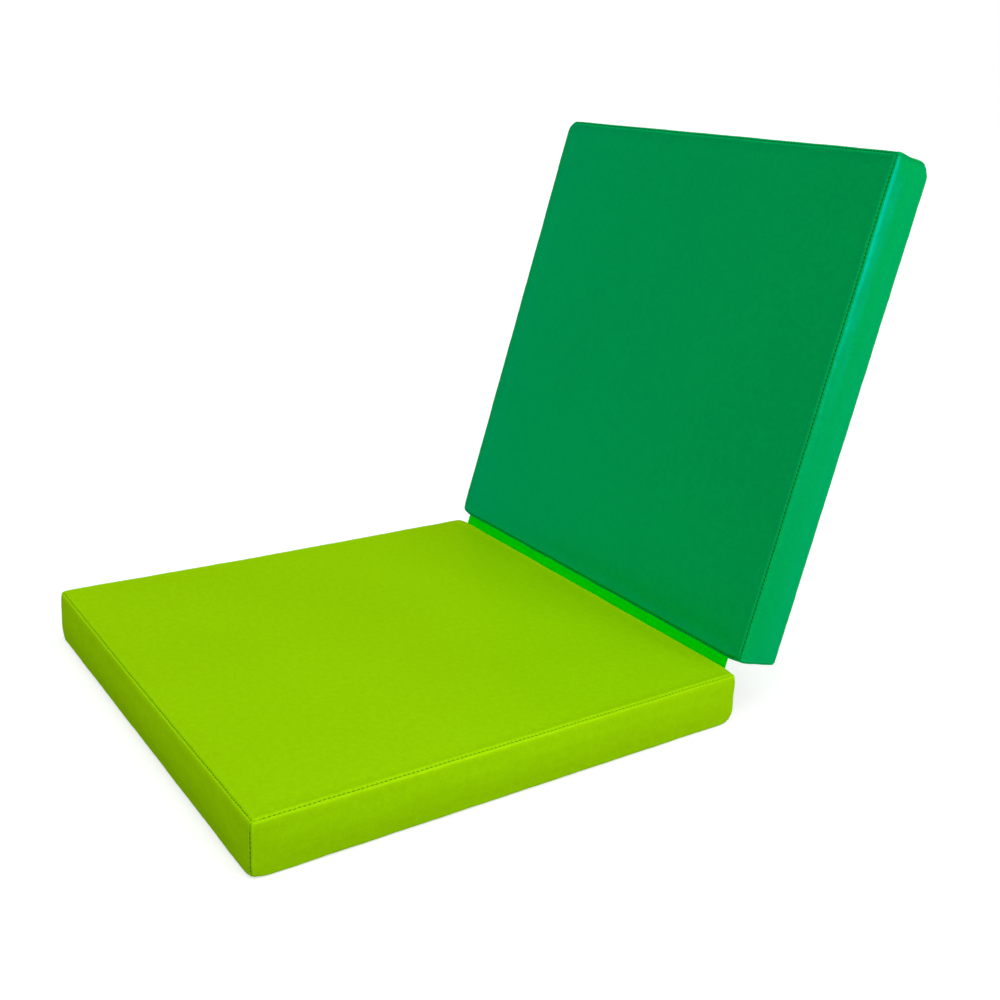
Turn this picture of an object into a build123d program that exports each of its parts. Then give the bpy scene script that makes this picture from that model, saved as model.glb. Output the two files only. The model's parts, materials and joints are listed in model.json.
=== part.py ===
from build123d import *

import os
from math import cos, radians

# Two-panel folding landing mat: two square foam pads in sewn, zipped vinyl covers, joined along
# one face edge by a fabric hinge strip.  The base pad lies on the floor and the rear pad is raised.
#
# Millimetres.  +X runs along the hinge, +Y from the base pad's free end towards the hinge, +Z up.
# The origin is the centre of the base pad's underside.  Both pads are drawn as the base pad lies:
# underside on Z = 0, hinge side at +Y, zip in the wall at -X.  The rear pad is the mirror image,
# laid flat beyond the strip and then turned about the fold line.

# Pads
PAD_SIDE = 600.0
PAD_THICKNESS = 60.0
PAD_CORNER_RADIUS = 8.0
RAISE_ANGLE = 74.0

# Cover sheets and foam
SHEET = 1.0
SHEET_GAP = 0.1
FOAM_INSET = 3.0
FOAM_CLEARANCE = 0.3
FOAM_CORNER_RADIUS = 6.0

# Hinge strip
STRIP_SPAN = 15.0
STRIP_LENGTH = 560.0
STRIP_THICKNESS = 1.2
STRIP_EDGE_CLEARANCE = 0.9
STRIP_CORNER_RADIUS = 2.0

# Zip: a coil chain between two tapes, in a slot between the two bands of the zip wall
ZIP_LENGTH = 540.0
SLOT_LENGTH = 556.0
SLOT_WIDTH = 12.0
COIL_WIDTH = 6.4
COIL_THICKNESS = 2.6
COIL_EDGE_RADIUS = 1.0
COIL_DEPTH = 0.1
TAPE_WIDTH = 14.0
TAPE_THICKNESS = 0.6
STOP_LENGTH = 3.0
STOP_THICKNESS = 2.2

# Zip slider: an outer and an inner shell that straddle the chain, and an arch for the pull
SLIDER_LENGTH = 16.0
SLIDER_SHOULDER_WIDTH = 10.0
SLIDER_TAIL_WIDTH = 8.6
SLIDER_CORNER_RADIUS = 1.6
SLIDER_PLATE = 1.4
SLIDER_LIP = 0.8
SLIDER_LIP_REACH = 0.9
SLIDER_LIFT = 0.3
SLIDER_END_MARGIN = 10.0
ARCH_LENGTH = 11.0
ARCH_WIDTH = 2.2
ARCH_THICKNESS = 1.0
ARCH_OPENING = 2.4

# Zip pull: a flat tab with a window that hooks the arch
PULL_LENGTH = 30.0
PULL_WIDTH = 7.0
PULL_THICKNESS = 1.4
PULL_WINDOW_WIDTH = 4.0
PULL_WINDOW_LENGTH = 7.0
PULL_CORNER_RADIUS = 2.0
PULL_HOLE_RADIUS = 1.3
PULL_HOLE_MARGIN = 4.0

# Threads
THREAD = 0.8
THREAD_LIFT = 0.1
EDGE_SEAM_INSET = 2.0
CORNER_SEAM_MARGIN = 5.0
ZIP_SEAM_INSET = 3.0

# Relief in the foam behind the zip, where the inner shell of the slider passes
RELIEF_WIDTH = 14.0
RELIEF_DEPTH = 3.2

# Places worked out from the sizes above
HALF_SIDE = PAD_SIDE / 2
MIDDLE_Z = PAD_THICKNESS / 2
WALL_LOW = SHEET + SHEET_GAP
WALL_HIGH = PAD_THICKNESS - SHEET - SHEET_GAP
COIL_OUTSIDE = -HALF_SIDE + COIL_DEPTH
COIL_INSIDE = COIL_OUTSIDE + COIL_THICKNESS
TAPE_OUTSIDE = -HALF_SIDE + SHEET + SHEET_GAP
PLATE_OUTSIDE = -HALF_SIDE - SLIDER_LIFT - SLIDER_PLATE
SLIDER_Y = ZIP_LENGTH / 2 - SLIDER_END_MARGIN
PIVOT_X = PLATE_OUTSIDE - ARCH_OPENING / 2
FOLD_LINE = Axis((0, HALF_SIDE, PAD_THICKNESS), (1, 0, 0))


def block(x_range, y_range, z_range):
    """An axis-aligned block between two corners."""
    spans = (x_range, y_range, z_range)
    size = [high - low for low, high in spans]
    centre = [(low + high) / 2 for low, high in spans]
    return Pos(*centre) * Box(*size)


def rounded_slab(side, radius, low, high):
    """A square slab with rounded upright edges, between two heights."""
    outline = Pos(0, 0, low) * RectangleRounded(side, side, radius)
    return extrude(outline, high - low)


def band(outer_offset, inner_offset, low, high):
    """An upright band that follows the pad's outline between two offsets from its side face."""
    outer = rounded_slab(PAD_SIDE + 2 * outer_offset, PAD_CORNER_RADIUS + outer_offset, low, high)
    inner = rounded_slab(PAD_SIDE + 2 * inner_offset, PAD_CORNER_RADIUS + inner_offset, low, high)
    return outer - inner


def wall(turn):
    """One boxing wall between two corner seams: 0 faces +X, 90 the hinge, 180 the zip side."""
    reach = PAD_SIDE
    corners = [(SHEET_GAP, 0), (reach + SHEET_GAP, reach), (reach + SHEET_GAP, -reach)]
    wedge = extrude(make_face(Polyline(*corners, close=True)), PAD_THICKNESS)
    return band(0, -SHEET, WALL_LOW, WALL_HIGH) & Rot(0, 0, turn) * wedge


def zip_wall():
    """The wall at -X in two bands, upper and lower, cut away around the zip."""
    through = (-HALF_SIDE - SHEET, -HALF_SIDE + PAD_CORNER_RADIUS)
    slot = block(
        through,
        (-SLOT_LENGTH / 2, SLOT_LENGTH / 2),
        (MIDDLE_Z - SLOT_WIDTH / 2, MIDDLE_Z + SLOT_WIDTH / 2),
    )
    parting = block(
        through,
        (-HALF_SIDE, HALF_SIDE),
        (MIDDLE_Z - SHEET_GAP / 2, MIDDLE_Z + SHEET_GAP / 2),
    )
    bands = (wall(180) - slot - parting).solids()
    lower, upper = sorted(bands, key=lambda solid: solid.center().Z)
    return upper, lower


def foam_core():
    """The foam block, with a shallow relief behind the zip."""
    side = PAD_SIDE - 2 * FOAM_INSET
    low = SHEET + FOAM_CLEARANCE
    high = PAD_THICKNESS - SHEET - FOAM_CLEARANCE
    relief = block(
        (-side / 2 - SHEET, -side / 2 + RELIEF_DEPTH),
        (-SLOT_LENGTH / 2, SLOT_LENGTH / 2),
        (MIDDLE_Z - RELIEF_WIDTH / 2, MIDDLE_Z + RELIEF_WIDTH / 2),
    )
    return rounded_slab(side, FOAM_CORNER_RADIUS, low, high) - relief


def zip_tape(side):
    """One zip tape, behind the wall band above (side 1) or below (side -1) the chain."""
    near = MIDDLE_Z + side * (COIL_WIDTH / 2 + SHEET_GAP)
    far = near + side * TAPE_WIDTH
    return block(
        (TAPE_OUTSIDE, TAPE_OUTSIDE + TAPE_THICKNESS),
        (-SLOT_LENGTH / 2, SLOT_LENGTH / 2),
        (min(near, far), max(near, far)),
    )


def zip_coil():
    """The closed chain of the zip as one bar with rounded long edges."""
    chain = block(
        (COIL_OUTSIDE, COIL_INSIDE),
        (-ZIP_LENGTH / 2, ZIP_LENGTH / 2),
        (MIDDLE_Z - COIL_WIDTH / 2, MIDDLE_Z + COIL_WIDTH / 2),
    )
    return fillet(chain.edges().filter_by(Axis.Y), COIL_EDGE_RADIUS)


def zip_stops():
    """A metal stop at each end of the chain."""
    middle_x = (COIL_OUTSIDE + COIL_INSIDE) / 2
    start = ZIP_LENGTH / 2 + SHEET_GAP
    stops = []
    for low, high in ((start, start + STOP_LENGTH), (-start - STOP_LENGTH, -start)):
        stop = block(
            (middle_x - STOP_THICKNESS / 2, middle_x + STOP_THICKNESS / 2),
            (low, high),
            (MIDDLE_Z - COIL_WIDTH / 2, MIDDLE_Z + COIL_WIDTH / 2),
        )
        stops.append(stop)
    return Compound(stops)


def extrude_across(outline, x, depth):
    """Extrude an outline drawn along the zip, centred on the slider, towards +X from one X face."""
    plane = Plane(origin=(x, SLIDER_Y, MIDDLE_Z), x_dir=(0, 1, 0), z_dir=(1, 0, 0))
    return extrude(plane * outline, depth, dir=(1, 0, 0))


def slider_shell(plate_x, lip_x):
    """One tapered plate of the slider with a lip along each flank, each from its lower X face."""
    half_length = SLIDER_LENGTH / 2
    half_shoulder = SLIDER_SHOULDER_WIDTH / 2
    half_tail = SLIDER_TAIL_WIDTH / 2
    corners = [
        (-half_length, -half_tail),
        (half_length, -half_shoulder),
        (half_length, half_shoulder),
        (-half_length, half_tail),
    ]
    face = make_face(Polyline(*corners, close=True))
    outline = fillet(face.vertices(), SLIDER_CORNER_RADIUS)
    channel = Rectangle(SLIDER_LENGTH + SLIDER_LIP, SLIDER_TAIL_WIDTH - 2 * SLIDER_LIP)
    plate = extrude_across(outline, plate_x, SLIDER_PLATE)
    lips = extrude_across(outline - channel, lip_x, SLIDER_LIP_REACH)
    return plate + lips


def slider_arch():
    """The arch on the slider's outer plate that holds the pull."""
    top = PLATE_OUTSIDE - ARCH_OPENING - ARCH_THICKNESS
    width = (MIDDLE_Z - ARCH_WIDTH / 2, MIDDLE_Z + ARCH_WIDTH / 2)
    half_length = ARCH_LENGTH / 2
    body = block((top, PLATE_OUTSIDE), (SLIDER_Y - half_length, SLIDER_Y + half_length), width)
    body = fillet(body.faces().sort_by(Axis.X)[0].edges().filter_by(Axis.Z), ARCH_THICKNESS)
    half_opening = half_length - ARCH_THICKNESS
    opening = block(
        (PLATE_OUTSIDE - ARCH_OPENING, PLATE_OUTSIDE + SLIDER_LIFT),
        (SLIDER_Y - half_opening, SLIDER_Y + half_opening),
        (MIDDLE_Z - ARCH_WIDTH, MIDDLE_Z + ARCH_WIDTH),
    )
    return body - opening


def zip_slider():
    """The slider's two shells, either side of the chain; the post between them is left out."""
    outer = slider_shell(PLATE_OUTSIDE, PLATE_OUTSIDE + SLIDER_PLATE)
    inner_plate_x = COIL_INSIDE + SLIDER_LIFT
    inner = slider_shell(inner_plate_x, inner_plate_x - SLIDER_LIP_REACH)
    return Compound((outer + slider_arch()).solids() + inner.solids())


def zip_pull():
    """The pull tab, lying back along the zip from its pivot bar under the arch."""
    bar_radius = PULL_THICKNESS / 2
    tab = Pos(bar_radius - PULL_LENGTH / 2, 0) * Rectangle(PULL_LENGTH, PULL_WIDTH)
    tab = fillet(tab.vertices().sort_by(Axis.X)[:2], PULL_CORNER_RADIUS)
    window = Pos(-bar_radius - PULL_WINDOW_LENGTH / 2, 0) * RectangleRounded(
        PULL_WINDOW_LENGTH, PULL_WINDOW_WIDTH, bar_radius
    )
    hole = Pos(bar_radius - PULL_LENGTH + PULL_HOLE_MARGIN, 0) * Circle(PULL_HOLE_RADIUS)
    return extrude_across(tab - window - hole, PIVOT_X - bar_radius, PULL_THICKNESS)


def edge_thread(height):
    """The thread of an edge seam: a loop just outside the walls."""
    low = height - THREAD / 2
    return band(THREAD_LIFT + THREAD, THREAD_LIFT, low, low + THREAD)


def corner_threads():
    """The thread of each upright corner seam."""
    reach = PAD_CORNER_RADIUS + THREAD_LIFT + THREAD / 2
    place = HALF_SIDE - PAD_CORNER_RADIUS + reach * cos(radians(45))
    height = PAD_THICKNESS - 2 * CORNER_SEAM_MARGIN
    cord = Cylinder(THREAD / 2, height)
    places = GridLocations(2 * place, 2 * place, 2, 2)
    return Compound([Pos(0, 0, MIDDLE_Z) * location * cord for location in places])


def zip_threads():
    """The two stitch rows that hold the zip tapes to the wall bands."""
    outside = -HALF_SIDE - THREAD_LIFT
    offset = SLOT_WIDTH / 2 + ZIP_SEAM_INSET
    rows = []
    for height in (MIDDLE_Z - offset, MIDDLE_Z + offset):
        row = block(
            (outside - THREAD, outside),
            (-SLOT_LENGTH / 2, SLOT_LENGTH / 2),
            (height - THREAD / 2, height + THREAD / 2),
        )
        rows.append(row)
    return Compound(rows)


def pad_pieces():
    """Every piece of one pad, by name, as the base pad lies."""
    upper_band, lower_band = zip_wall()
    return {
        "foam_core": foam_core(),
        "face_sheet": rounded_slab(
            PAD_SIDE, PAD_CORNER_RADIUS, PAD_THICKNESS - SHEET, PAD_THICKNESS
        ),
        "underside_sheet": rounded_slab(PAD_SIDE, PAD_CORNER_RADIUS, 0, SHEET),
        "end_wall": wall(-90),
        "hinge_wall": wall(90),
        "right_wall": wall(0),
        "zip_wall_upper": upper_band,
        "zip_wall_lower": lower_band,
        "zip_tape_upper": zip_tape(1),
        "zip_tape_lower": zip_tape(-1),
        "zip_coil": zip_coil(),
        "zip_stops": zip_stops(),
        "zip_slider": zip_slider(),
        "zip_pull": zip_pull(),
        "face_seam_thread": edge_thread(PAD_THICKNESS - EDGE_SEAM_INSET),
        "underside_seam_thread": edge_thread(EDGE_SEAM_INSET),
        "corner_seam_threads": corner_threads(),
        "zip_seam_threads": zip_threads(),
    }


def raise_about_fold(piece):
    """Turn a piece that lies flat beyond the fold line up to the raised angle."""
    return piece.rotate(FOLD_LINE, RAISE_ANGLE)


def hinge_strip():
    """The fabric strip between the two fold lines."""
    width = STRIP_SPAN - 2 * STRIP_EDGE_CLEARANCE
    outline = RectangleRounded(STRIP_LENGTH, width, STRIP_CORNER_RADIUS)
    strip_y = HALF_SIDE + STRIP_SPAN / 2
    flat = extrude(Pos(0, strip_y, PAD_THICKNESS) * outline, STRIP_THICKNESS / 2, both=True)
    return raise_about_fold(flat)


def rear_pad(piece):
    """A base pad piece as its counterpart in the raised rear pad."""
    flat = Pos(0, PAD_SIDE + STRIP_SPAN, 0) * mirror(piece, about=Plane.XZ)
    return raise_about_fold(flat)


def main():
    os.makedirs("parts", exist_ok=True)
    nodes = {"hinge_strip": hinge_strip()}
    for name, piece in pad_pieces().items():
        nodes["base_" + name] = piece
        nodes["rear_" + name] = rear_pad(piece)
    for name, piece in nodes.items():
        export_step(piece, os.path.join("parts", name + ".step"))


main()
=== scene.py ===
"""Looks for a folding landing mat: two foam pads in stitched vinyl, joined by a fabric strip.

Lengths are in millimetres until a mesh is made; MM turns them into the frame's metres.  A pad is
shaped lying flat, underside on z = 0, hinge side at +y, zip wall at -x, and then put in its place.
Each pad side has an index: 0 the free end, 1 the right wall, 2 the hinge wall, 3 the zip wall.
Along a side, q runs from -1 to 1 between two corners.  A seam profile is a list of (n, h) points:
n is the distance out from the wall plane, and h the height above the nearer face plane.
"""
import json
import math

import bpy
import numpy as np
from mathutils import Matrix, Vector


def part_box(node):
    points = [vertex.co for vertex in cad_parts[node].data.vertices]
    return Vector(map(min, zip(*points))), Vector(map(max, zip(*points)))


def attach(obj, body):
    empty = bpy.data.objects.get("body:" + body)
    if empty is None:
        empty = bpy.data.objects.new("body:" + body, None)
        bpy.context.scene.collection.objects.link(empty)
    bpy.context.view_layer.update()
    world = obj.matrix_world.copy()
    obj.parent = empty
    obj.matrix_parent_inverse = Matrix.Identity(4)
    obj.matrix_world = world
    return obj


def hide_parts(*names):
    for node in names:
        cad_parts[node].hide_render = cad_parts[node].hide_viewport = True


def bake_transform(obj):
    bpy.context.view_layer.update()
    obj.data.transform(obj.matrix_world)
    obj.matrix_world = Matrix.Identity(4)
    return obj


MM = 0.001

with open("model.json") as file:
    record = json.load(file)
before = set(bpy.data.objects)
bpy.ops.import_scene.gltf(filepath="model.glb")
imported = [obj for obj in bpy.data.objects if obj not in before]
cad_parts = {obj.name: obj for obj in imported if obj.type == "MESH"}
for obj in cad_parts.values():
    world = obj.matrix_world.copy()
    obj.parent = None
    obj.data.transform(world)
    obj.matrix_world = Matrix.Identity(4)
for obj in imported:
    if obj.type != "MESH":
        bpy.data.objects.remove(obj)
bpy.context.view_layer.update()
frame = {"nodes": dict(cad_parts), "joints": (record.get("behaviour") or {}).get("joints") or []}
joints = {joint["name"]: joint for joint in frame["joints"]}

# Sizes and places taken from the frame
sheet_low, sheet_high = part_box("base_face_sheet")
slot_low, slot_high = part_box("base_zip_tape_upper")
strip_low, strip_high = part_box("hinge_strip")
SIDE = (sheet_high.x - sheet_low.x) / MM
HALF = SIDE / 2
THICK = sheet_high.z / MM
MID = THICK / 2
SLOT_HALF_LENGTH = (slot_high.y - slot_low.y) / MM / 2
STRIP_HALF_LENGTH = (strip_high.x - strip_low.x) / MM / 2
FOLD = np.array(joints["strip_fold"]["pos_m"]) / MM
REAR_FOLD = np.array(joints["rear_fold"]["pos_m"]) / MM
SPAN = float(np.linalg.norm(REAR_FOLD - FOLD))
STRIP_UP = (REAR_FOLD - FOLD) / SPAN
RAISE = math.atan2(STRIP_UP[2], STRIP_UP[1])
STRIP_NORMAL = np.array([0.0, -math.sin(RAISE), math.cos(RAISE)])

# Sheets: thickness, width of the shaped border, cells inside it, and columns to a stitch
SHEET_THICKNESS = 0.7
BORDER = 18.0
MIDDLE_CELLS = 110
COLUMNS_PER_STITCH = 4

# The lips on the two sides of an edge seam, the rows that follow them, and the groove between
# them.  The underside lips are flatter than the face lips by a factor.
FACE_LIP = [
    (-16, 0), (-11, 0.25), (-8, 0.6), (-6, 1.0), (-4.8, 1.1), (-3.8, 0.95),
    (-2.95, 0.55), (-2.35, 0.0), (-2.45, -0.65), (-4.2, -0.95),
]
FACE_LIP_ROWS = 17
WALL_LIP = [
    (-4.2, -1.25), (-2.9, -1.15), (-2.3, -0.75), (-2.15, -0.15), (-1.5, 0.05), (-0.6, -0.35),
    (0.15, -1.5), (0.7, -3.4), (1.05, -6.3), (1.25, -10.3), (1.3, -15),
]
WALL_LIP_ROWS = 12
WALL_MIDDLE_ROWS = 6
LIP_END = -WALL_LIP[-1][1]
GROOVE = (-2.15, -0.4)
UNDER_SHARPNESS = 0.35

# Along an edge seam: how far it wanders, and how its lips part and dip at each stitch.  The
# wander fades towards the corners and down the wall, and the puckers away from the groove.
STITCH_PITCH = 5.1
SEAM_WAVELENGTHS = (160, 74, 41, 23, 14)
SEAM_WANDER = 0.008
SEAM_FADE = 14.0
WANDER_DEPTH = 2.0
LIP_PARTING = 0.5
STITCH_DIP = 0.3
FACE_PUCKER = (GROOVE[0] - 3.0, GROOVE[0] - 0.5)
WALL_PUCKER = (0.4, 3.0)

# Beside the hinge strip the face seam reaches out and up by this much
HINGE_REACH = {"base": (1.0, 1.0), "rear": (2.4, 0.0)}
HINGE_REACH_FADE = 25.0

# Upright seams: distances of the fine columns from the corner, how far the hidden ones are tucked
# in, and the shape of the groove and of the ridge beside it
CORNER_STEPS = [0.0, 0.5, 1.0, 1.6, 2.3, 3.1, 4.2, 5.6, 7.5, 10.0]
CORNER_TUCKS = [-2.0, -1.0]
CORNER_GROOVE = 0.9
CORNER_GROOVE_SPREAD = 0.9
CORNER_RIDGE = 0.65
CORNER_RIDGE_PLACE = 2.3
CORNER_RIDGE_SPREAD = 1.3

# The four corners in turn, from +x -y round to -x -y: plan radius, degrees by which the upright
# seam sits round the corner, how blunt the corner is at the face and at the underside, and how
# deep and how high up its upright seam is drawn in
CORNER_RADII = {"base": (3, 4, 5, 8), "rear": (3, 3, 5, 10)}
SEAM_TURNS = {"base": (-22, 8, 5, -8), "rear": (25, -20, 6, -10)}
FACE_BLUNTNESS = {"base": (0.2, 0.8, 1.2, 0.4), "rear": (0.3, 0.3, 1.2, 3)}
UNDER_BLUNTNESS = {"base": (3, 4, 2.5, 3), "rear": (5, 0.3, 2.5, 2.5)}
SEAM_DIPS = {
    "base": ((0.3, 30), (0.8, 34), (0.8, 28), (0.6, 36)),
    "rear": ((2.0, 37), (0.7, 30), (0.8, 30), (0.8, 35)),
}

# How fast a corner's radius grows outwards, how far its bluntness reaches, and how far the dip of
# its upright seam reaches up and along the wall
CORNER_SPREAD = 1.3
BLUNTNESS_REACH = 9.0
SEAM_DIP_HEIGHT = 13.0
SEAM_DIP_LENGTH = 10.0

# The face is a little fuller towards its -x -y corner, from above the zip to the top
CORNER_LIFT = {"base": 2.6, "rear": 0.0}
CORNER_LIFT_REACH = 170.0
CORNER_LIFT_START = MID + 10

# Cloth simulation of the cover, and the most that a point of an edge, a face and a wall may move
PAD_SEEDS = {"base": 5, "rear": 9}
SIM_CELLS = 60
SIM_LAYERS = 6
SIM_FRAMES = 9
SIM_SETTINGS = {
    "quality": 6, "mass": 0.3, "tension_stiffness": 40, "compression_stiffness": 40,
    "shear_stiffness": 15, "bending_stiffness": 2, "uniform_pressure_force": 1.2,
}
SIM_UNEVENNESS = 0.25
SIM_WAVELENGTH = 60.0
SMOOTHING_PASSES = 5
EDGE_CELLS = 4
EDGE_CAP = 0.5
FACE_CAP = 1.5
WALL_CAP = 3.4

# The zip wall: its slot, which closes at each end, the rows between lip and hem, the hem as
# (distance out, distance back from the slot's edge), and where the wall is flat and where free
SLOT_HALF_WIDTH = 6.0
SLOT_END_LENGTH = 7.0
CLOSED_HALF_GAP = 0.15
BAND_SHARES = (0.33, 0.67)
ZIP_HEM = [
    (0.1, 5.6), (-0.22, 3.0), (0.12, 2.0), (0.1, 0.7), (-0.3, 0.0), (-0.75, 0.25), (-0.8, 1.6),
]
ZIP_HEM_ROWS = 16
ZIP_FLAT = (6.0, 20.0)

# One stitch: places along it from -1 to 1, and how far out and how thick it is at each
STITCH_HALF_LENGTH = 1.5
STITCH_STATIONS = np.array([-1.0, -0.72, 0.0, 0.72, 1.0])
STITCH_LIFT = np.array([-0.55, -0.05, 0.1, -0.05, -0.55])
STITCH_RADII = np.array([0.12, 0.34, 0.4, 0.34, 0.12])

# Where the rows of stitches run, and how much shorter and thinner the ones by the zip are
EDGE_STITCH_END = 6.0
CORNER_STITCH_START = 8.0
CORNER_STITCH_END = 7.0
CORNER_STITCH_OUT = 0.35
ZIP_STITCH_INSET = 3.0
ZIP_STITCH_END = 8.0
ZIP_STITCH_DEPTH = 0.05
ZIP_STITCH_SCALE = 0.75
ZIP_THREAD_SCALE = 0.8

# One coil tooth, from root to hook: its reach in half widths of the chain, its radii and its bend
COIL_PITCH = 1.7
TOOTH_REACH = np.array([-0.98, -0.8, -0.3, 0.12, 0.2])
TOOTH_RADII = np.array([0.3, 0.72, 0.66, 0.8, 0.45])
TOOTH_BEND = np.array([0.2, 0.0, -0.15, -0.25, 0.0])

# A zip tape: places across it from the teeth, how high its cord is at each and at the far edge,
# and the ripples along the cord as (size, reach)
TAPE_ACROSS = [0.0, 0.5, 1.1, 1.9, 3.2, 6.0, 10.0]
TAPE_CORD = np.array([0.0, 0.32, 0.38, 0.12, 0.0, 0.0, 0.0, 0.0])
TAPE_RIPPLES = ((0.06, 3.1), (0.05, 7.7))
TAPE_STEP = 4.0

# The foam core: the radius of its edges and the depth of the hollow behind the zip
FOAM_EDGE_RADIUS = 4.0
FOAM_HOLLOW = 5.0

# The hinge strip lies just behind the plane of its fold lines, with its ends folded round.  It
# starts inside the base pad, as (y, z) from the fold line, passes places along its free part,
# and ends inside the rear pad, as (place beyond the rear fold line, offset from its plane).
STRIP_SEED = 11
STRIP_THICKNESS = 1.4
STRIP_OFFSET = -1.25
STRIP_WAVE = 0.3
STRIP_WAVELENGTH = 90.0
STRIP_FREE_FROM = 3.0
STRIP_ROWS = 15
STRIP_COLUMNS = 111
STRIP_PLAIN_FROM = 5.0
HEM_PLACES = np.array([0.0, 0.08, 0.25, 0.5, 0.8])
LEAST_SHARE = 0.05
ROOT_PATH = [(-2.4, -2.6), (-0.9, -2.6), (0.3, -2.3), (0.95, -1.35), (1.22, -0.2)]
LOWER_PLACES = [1.4, 3.0, 5.2]
UPPER_PLACES = [9.5, 11.6]
END_PATH = [(-1.6, -1.45), (-0.4, -1.9), (0.8, -2.4), (2.4, -2.6)]

# Colours of each pad's vinyl, its sheen and its thread, and of the strip; how much light is
# painted on ridges and shade in seam bottoms
SKIN_COLOURS = {"base": (0.235, 0.50, 0.0003), "rear": (0.0004, 0.31, 0.030)}
SHEEN_COLOURS = {"base": (1.0, 1.0, 0.02), "rear": (0.0, 1.3, 2.2)}
THREAD_COLOURS = {"base": (0.06, 0.19, 0.0003), "rear": (0.0003, 0.065, 0.012)}
COLOUR_NAMES = {"base": "lime", "rear": "green"}
STRIP_COLOUR = (0.0009, 0.66, 0.0007)
STRIP_SHEEN = (0.0, 0.3, 0.0)
# Painted light on ridges and painted shade in seam bottoms: how strong, on the pads and on the
# strip
SEAM_PAINTED_LIGHT = 0.25
STRIP_PAINTED_LIGHT = 0.0
SHEEN_IOR = 1.4
MOST_SHEEN = 0.06
TAPE_COLOUR = (0.004, 0.09, 0.025)
COIL_COLOUR = (0.005, 0.11, 0.03)
METAL_COLOUR = (0.62, 0.63, 0.64)
FOAM_COLOUR = (0.72, 0.66, 0.48)

# Light: the surround, the floor's paint and its glow to the camera, a panel for the sheen, and
# soft lamps with their directions, powers and spreads in degrees
SURROUND_LIGHT = 0.46
FLOOR_BOUNCE = 0.5
FLOOR_GLOW = 0.6
PANEL_PLACE = (2.2, 0.9, 0.8)
PANEL_FACING = (2.0, 0.6, 0.75)
PANEL_SIZE = 1.0
PANEL_POWER = 20
SOFT_LAMPS = [
    ("overhead", (0.25, 0.0, 1.0), 1.75, 60),
    ("front", (0.0, -1.0, 0.35), 0.28, 40),
]

# The camera: its place, its yaw, pitch and roll in degrees, its lens, and the frame's shift
CAMERA_PLACE = (1.2479, -0.6973, 0.7200)
CAMERA_ANGLES = (-55.242, 16.698, -2.451)
SENSOR_WIDTH = 36
LENS = 46.09
FRAME_SHIFT = (-0.0044, -0.047)


# ---- placing and mesh making

def to_world(points, pad):
    """Pad points, in millimetres and lying flat, to their place in the frame, in metres."""
    if pad == "base":
        return points * MM
    flat = points * (1, -1, 1) + (0, SIDE + SPAN, 0) - FOLD
    cos_raise, sin_raise = math.cos(RAISE), math.sin(RAISE)
    raised = flat.copy()
    raised[:, 1] = flat[:, 1] * cos_raise - flat[:, 2] * sin_raise
    raised[:, 2] = flat[:, 1] * sin_raise + flat[:, 2] * cos_raise
    return (raised + FOLD) * MM


def add_object(name, data):
    """A new object in the scene."""
    added = bpy.data.objects.new(name, data)
    bpy.context.scene.collection.objects.link(added)
    return added


def mesh_object(name, points, faces, material):
    """A smooth-shaded mesh object from points in metres, in its material's slot."""
    mesh = bpy.data.meshes.new(name)
    mesh.from_pydata(points.tolist(), [], faces)
    mesh.materials.append(material)
    mesh.polygons.foreach_set("use_smooth", [True] * len(mesh.polygons))
    mesh.update()
    piece = add_object(name, mesh)
    return piece


def soften_corners(points, pad):
    """Blunt the pad's eight corners, each by its own depth, and fill out the -x -y one."""
    points = np.array(points, float)
    ends = ((1, -1), (1, 1), (-1, 1), (-1, -1))
    for level, up, depths in ((THICK, 1, FACE_BLUNTNESS[pad]), (0, -1, UNDER_BLUNTNESS[pad])):
        for (x, y), depth in zip(ends, depths):
            away = np.linalg.norm(points - (x * HALF, y * HALF, level), axis=1)
            inward = -np.array([x, y, up]) / math.sqrt(3)
            points += depth * np.exp(-((away / BLUNTNESS_REACH) ** 2))[:, None] * inward
    away = np.hypot(points[:, 0] + HALF, points[:, 1] + HALF)
    lift = CORNER_LIFT[pad] * np.exp(-((away / CORNER_LIFT_REACH) ** 2))
    points[:, 2] += lift * smoothstep(CORNER_LIFT_START, THICK, points[:, 2])
    return points


def pad_piece(name, points, faces, pad, material):
    """A piece of one pad, in place of the frame's; the rear pad is mirrored, so its faces flip."""
    if pad == "rear":
        faces = flipped(faces)
    placed = to_world(soften_corners(points.reshape(-1, 3), pad), pad)
    piece = mesh_object(f"{pad}_{name}", placed, faces, material)
    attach(piece, f"{pad}_pad")
    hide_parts(f"{pad}_{name}")
    return piece


def thicken(piece):
    """Give a sheet its thickness, inwards from its outer surface."""
    modifier = piece.modifiers.new("thickness", "SOLIDIFY")
    modifier.thickness = SHEET_THICKNESS * MM
    modifier.offset = -1


def flipped(faces):
    """The same faces, turned over."""
    return [tuple(reversed(face)) for face in faces]


def grid_faces(rows, columns):
    """Quads over a grid of points stored row by row."""
    faces = []
    for row in range(rows - 1):
        for column in range(columns - 1):
            corner = row * columns + column
            faces.append((corner, corner + 1, corner + columns + 1, corner + columns))
    return faces


def band_faces(rings, around, first=0, capped=True):
    """Quads between closed rings of points stored ring by ring, and a cap on each end."""
    faces = []
    for ring in range(rings - 1):
        start = first + ring * around
        for place in range(around):
            a, b = start + place, start + (place + 1) % around
            faces.append((a, b, b + around, a + around))
    if capped:
        last = first + (rings - 1) * around
        faces.append(tuple(range(first + around - 1, first - 1, -1)))
        faces.append(tuple(range(last, last + around)))
    return faces


def with_height(plan, height):
    """Plan places or directions, with a height for each."""
    return np.concatenate([plan, height[..., None]], -1)


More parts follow.
